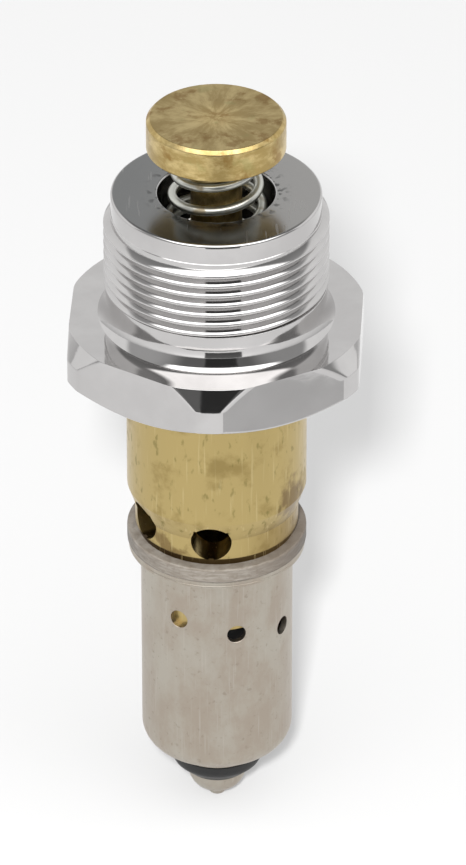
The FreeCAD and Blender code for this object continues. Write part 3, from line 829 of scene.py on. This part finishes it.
sleeve_steps = [
    (SPIGOT_RADIUS, GASKET_FOOT), (FLANGE_RADIUS, GASKET_FOOT, 0.15),
    (FLANGE_RADIUS, FLANGE_LINE + 0.1, 0.12), (FLANGE_RADIUS - 0.09, FLANGE_LINE, 0.05),
    (FLANGE_RADIUS, FLANGE_LINE - 0.1, 0.12), (FLANGE_RADIUS, FLANGE_FOOT, 0.3),
    (SLEEVE_RADIUS + 0.51, FLANGE_FOOT, 0.1), (SLEEVE_RADIUS + 0.16, FLANGE_FOOT - 0.15),
    (SLEEVE_RADIUS + 0.02, FLANGE_FOOT - 0.55), (SLEEVE_RADIUS, FLANGE_FOOT - 0.9),
    (SLEEVE_RADIUS, -30.0), *shoulder(SLEEVE_CORNER, range(9)), (NECK_RADIUS, NECK_TOP, 0.15),
    (NECK_RADIUS, NECK_FOOT, 0.2), (NOSE_RADIUS, NECK_FOOT), (NOSE_RADIUS, NOSE_FOOT, 0.1),
    (MOUTH_RADIUS, NOSE_FOOT), (MOUTH_RADIUS, GUIDE_FOOT), (GUIDE_BORE, GUIDE_FOOT),
    (GUIDE_BORE, NECK_TOP + 0.53), *shoulder(SLEEVE_CORNER - SLEEVE_WALL, range(8, -1, -1))]
sleeve_mesh = run_tree(drillings, turn_mesh("sleeve_shell", sleeve_steps), {
    "Count": INLETS, "First Angle": math.radians(-120), "Angle Step": math.radians(45),
    "First Height": FIRST_INLET * MM, "Height Step": INLET_STEP * MM, "Hole Radius": INLET_RADIUS * MM,
    "Surface Radius": SLEEVE_RADIUS * MM, "Edge": 0.05 * MM, "Material": FINISHES["nickel_plate"]})
shell = finish_piece("sleeve_shell", sleeve_mesh, FINISHES["nickel_plate"], "housing",
                     ["sleeve"])
ring_normals(shell.data, CORNER_TOP + 0.2, FLANGE_FOOT - 1.1)

# %% [markdown]
# ## Check valve
# A black rubber cone closes the end of the sleeve from outside, and a metal dome with a small nipple
# holds it. Both are round, so both are turned. The dome is an arc of eight points instead of a
# sphere, because it is wider than it is tall.

# %% Check valve
seal_steps = [
    (PIN_RADIUS, SEAL_FOOT), (SEAL_FOOT_RADIUS, SEAL_FOOT, 0.3), (SEAL_RADIUS, SEAL_EDGE, 0.5),
    (SEAL_RADIUS, SEAL_TOP, 0.15), (NOSE_RADIUS + 0.05, SEAL_TOP), (NOSE_RADIUS + 0.05, NOSE_FOOT - 0.05),
    (PIN_RADIUS, NOSE_FOOT - 0.05)]
finish_piece("check_cone", turn_mesh("check_cone", seal_steps), FINISHES["black_rubber"],
             "check_valve", ["check_seal"])
dome_reach = DOME_RADIUS - NIPPLE_RADIUS
dome = [(NIPPLE_RADIUS + dome_reach * math.sin(turn), SEAL_FOOT - DOME_HEIGHT * math.cos(turn))
        for turn in [math.pi / 2 * part / 8 for part in range(1, 9)]]
poppet_steps = [
    (0, NIPPLE_FOOT), (NIPPLE_RADIUS, NIPPLE_FOOT, 0.25), (NIPPLE_RADIUS, SEAL_FOOT - DOME_HEIGHT, 0.1),
    *dome, (PIN_RADIUS, SEAL_FOOT), (PIN_RADIUS, CLIP_FOOT), (CLIP_RADIUS, CLIP_FOOT),
    (CLIP_RADIUS, CLIP_TOP), (PIN_RADIUS, CLIP_TOP), (PIN_RADIUS, PIN_TOP, 0.1), (0, PIN_TOP)]
finish_piece("check_dome", turn_mesh("check_dome", poppet_steps, 96), FINISHES["nickel_plate"],
             "check_valve", ["check_poppet"])

# %% [markdown]
# ## Studio floor
# The floor is pale and plain. Metal shows its surroundings, so two curved cards lie on the floor in
# front, where only reflections see them: a dark one for the flare under the thread and a grey one for
# the right flat of the hexagon. Dark places in the world would do, but a card close by is seen from
# one height of the object only.

# %% Floor and cards
FLOOR_HEIGHT = NIPPLE_FOOT * MM
FLOOR_TONE, FLOOR_LIFT, FLOOR_REACH = 0.36, 0.28, 3
CARD_LIFT = 0.5 * MM


def stage_plate(name, verts, material):
    """Flat plate of the stage, from the points along one long side and back along the other."""
    half = len(verts) // 2
    mesh = bpy.data.meshes.new(name)
    mesh.from_pydata(verts, [], [(k, k + 1, 2 * half - 2 - k, 2 * half - 1 - k) for k in range(half - 1)])
    mesh.materials.append(material)
    plate = bpy.data.objects.new(name, mesh)
    bpy.context.scene.collection.objects.link(plate)
    return plate


def card(name, inner, outer, first, last, tone):
    """Card on the floor round the object, as a piece of a ring, which only reflections see. The angles
    are in degrees to the right of the front, the radii in millimetres."""
    turns = [math.radians(first + (last - first) * part / 16) for part in range(17)]
    side = [(inner * MM * math.sin(turn), -inner * MM * math.cos(turn), FLOOR_HEIGHT + CARD_LIFT)
            for turn in turns]
    far = [(outer * MM * math.sin(turn), -outer * MM * math.cos(turn), FLOOR_HEIGHT + CARD_LIFT)
           for turn in reversed(turns)]
    material = bpy.data.materials.new(name)
    material.use_nodes = True
    material.node_tree.nodes["Principled BSDF"].inputs["Base Color"].default_value = rgb(tone, tone, tone)
    material.node_tree.nodes["Principled BSDF"].inputs["Roughness"].default_value = 1.0
    plate = stage_plate(name, side + far, material)
    plate.visible_camera = plate.visible_diffuse = plate.visible_shadow = False


def floor_material():
    material = bpy.data.materials.new("pale_floor")
    material.use_nodes = True
    tree = material.node_tree
    tree.nodes.clear()
    start = Wire(tree)
    rays = start.node("ShaderNodeLightPath", output="Is Camera Ray")
    seen = rays.sum("MAXIMUM", rays.sum("MAXIMUM", rays, rays.out("Is Glossy Ray")),
                    rays.out("Is Transmission Ray"))
    matt = start.node("ShaderNodeBsdfDiffuse", None, {"Color": rgb(FLOOR_TONE, FLOOR_TONE, FLOOR_TONE)})
    lift = start.node("ShaderNodeEmission", None, {"Color": rgb(1, 1, 1), "Strength": 1.0})
    mixed = start.node("ShaderNodeMixShader", None, {0: seen * FLOOR_LIFT, 1: matt, 2: lift})
    start.node("ShaderNodeOutputMaterial", None, {"Surface": mixed})
    return material


stage_plate("floor", [(x, y, FLOOR_HEIGHT) for x, y in (
    (-FLOOR_REACH, -FLOOR_REACH), (FLOOR_REACH, -FLOOR_REACH), (FLOOR_REACH, FLOOR_REACH),
    (-FLOOR_REACH, FLOOR_REACH))], floor_material())
card("dark_card", 205.0, 1700.0, -11, 24, 0.02)
card("grey_card", 112.0, 136.0, 36, 66, 0.22)


# %% [markdown]
# ## Surroundings
# In the photo the chrome mirrors a wide light, from about 30 degrees over the front up to the zenith,
# with a narrow dark gap under it and a pale wall behind the object. A panorama of a real studio would
# do. Smooth steps over the direction give each edge a number of its own, so that each could be set
# against the reflections in the photo. The camera itself sees plain white.

# %% World
GAP_EDGE, SOFTBOX_FOOT, WALL_TOP = 0.44, 0.48, 0.62
FRONT_LEVEL, GAP_LEVEL, SOFTBOX_LEVEL = 0.18, 0.04, 3.0


def studio_world():
    world = bpy.data.worlds.new("studio")
    world.use_nodes = True
    bpy.context.scene.world = world
    tree = world.node_tree
    tree.nodes.clear()
    start = Wire(tree)
    way = start.node("ShaderNodeTexCoord", output="Generated")
    x, y, z = apart(way)
    side = x.sum("ABSOLUTE", x)
    back = y.rise(-0.05, 0.10)
    flank = side.rise(0.45, 0.80)
    gap = x.rise(-0.20, -0.16) * x.rise(0.30, 0.34, 1.0, 0.0) * z.rise(GAP_EDGE, SOFTBOX_FOOT, 1.0, 0.0)
    softbox = z.rise(SOFTBOX_FOOT, SOFTBOX_FOOT + 0.03) * (side - x * 0.08).rise(0.60, 0.74, 1.0, 0.0)
    front = FRONT_LEVEL + flank * (0.28 - x * 0.06)
    before = front * (1 - gap) + gap * GAP_LEVEL + softbox * SOFTBOX_LEVEL
    behind = z.rise(WALL_TOP, WALL_TOP + 0.08, 0.95, 0.30) + flank * 0.15
    level = before * (1 - back) + behind * back
    rays = start.node("ShaderNodeLightPath", output="Is Camera Ray")
    seen = rays.sum("MAXIMUM", rays, rays.out("Is Transmission Ray"))
    strength = level * (1 - seen) + seen
    sky = start.node("ShaderNodeBackground", None, {"Color": rgb(1, 1, 1), "Strength": strength})
    start.node("ShaderNodeOutputWorld", None, {"Surface": sky})


studio_world()
print("world:", bpy.context.scene.world.name)

# %% [markdown]
# ## Lamp
# The photo has one soft shadow, at the right of the object. A small area lamp close to the camera, a
# little to its left, lays it on the floor. A sun lamp would give the same direction, but not the
# shadow that softens away from the object. Reflections don't see the lamp, since the softbox already
# stands for the light there.

# %% Lamp
def soft_lamp(name, place, aim, size, power):
    data = bpy.data.lights.new(name, "AREA")
    data.size, data.energy = size, power
    lamp = bpy.data.objects.new(name, data)
    lamp.location = place
    lamp.rotation_euler = (Vector(aim) - Vector(place)).to_track_quat("-Z", "Y").to_euler()
    bpy.context.scene.collection.objects.link(lamp)
    return lamp


shade_lamp = soft_lamp("shade_lamp", (-0.07, -1.11, 0.80), (0, 0.02, -0.02), 0.10, 46.0)
shade_lamp.visible_glossy = False
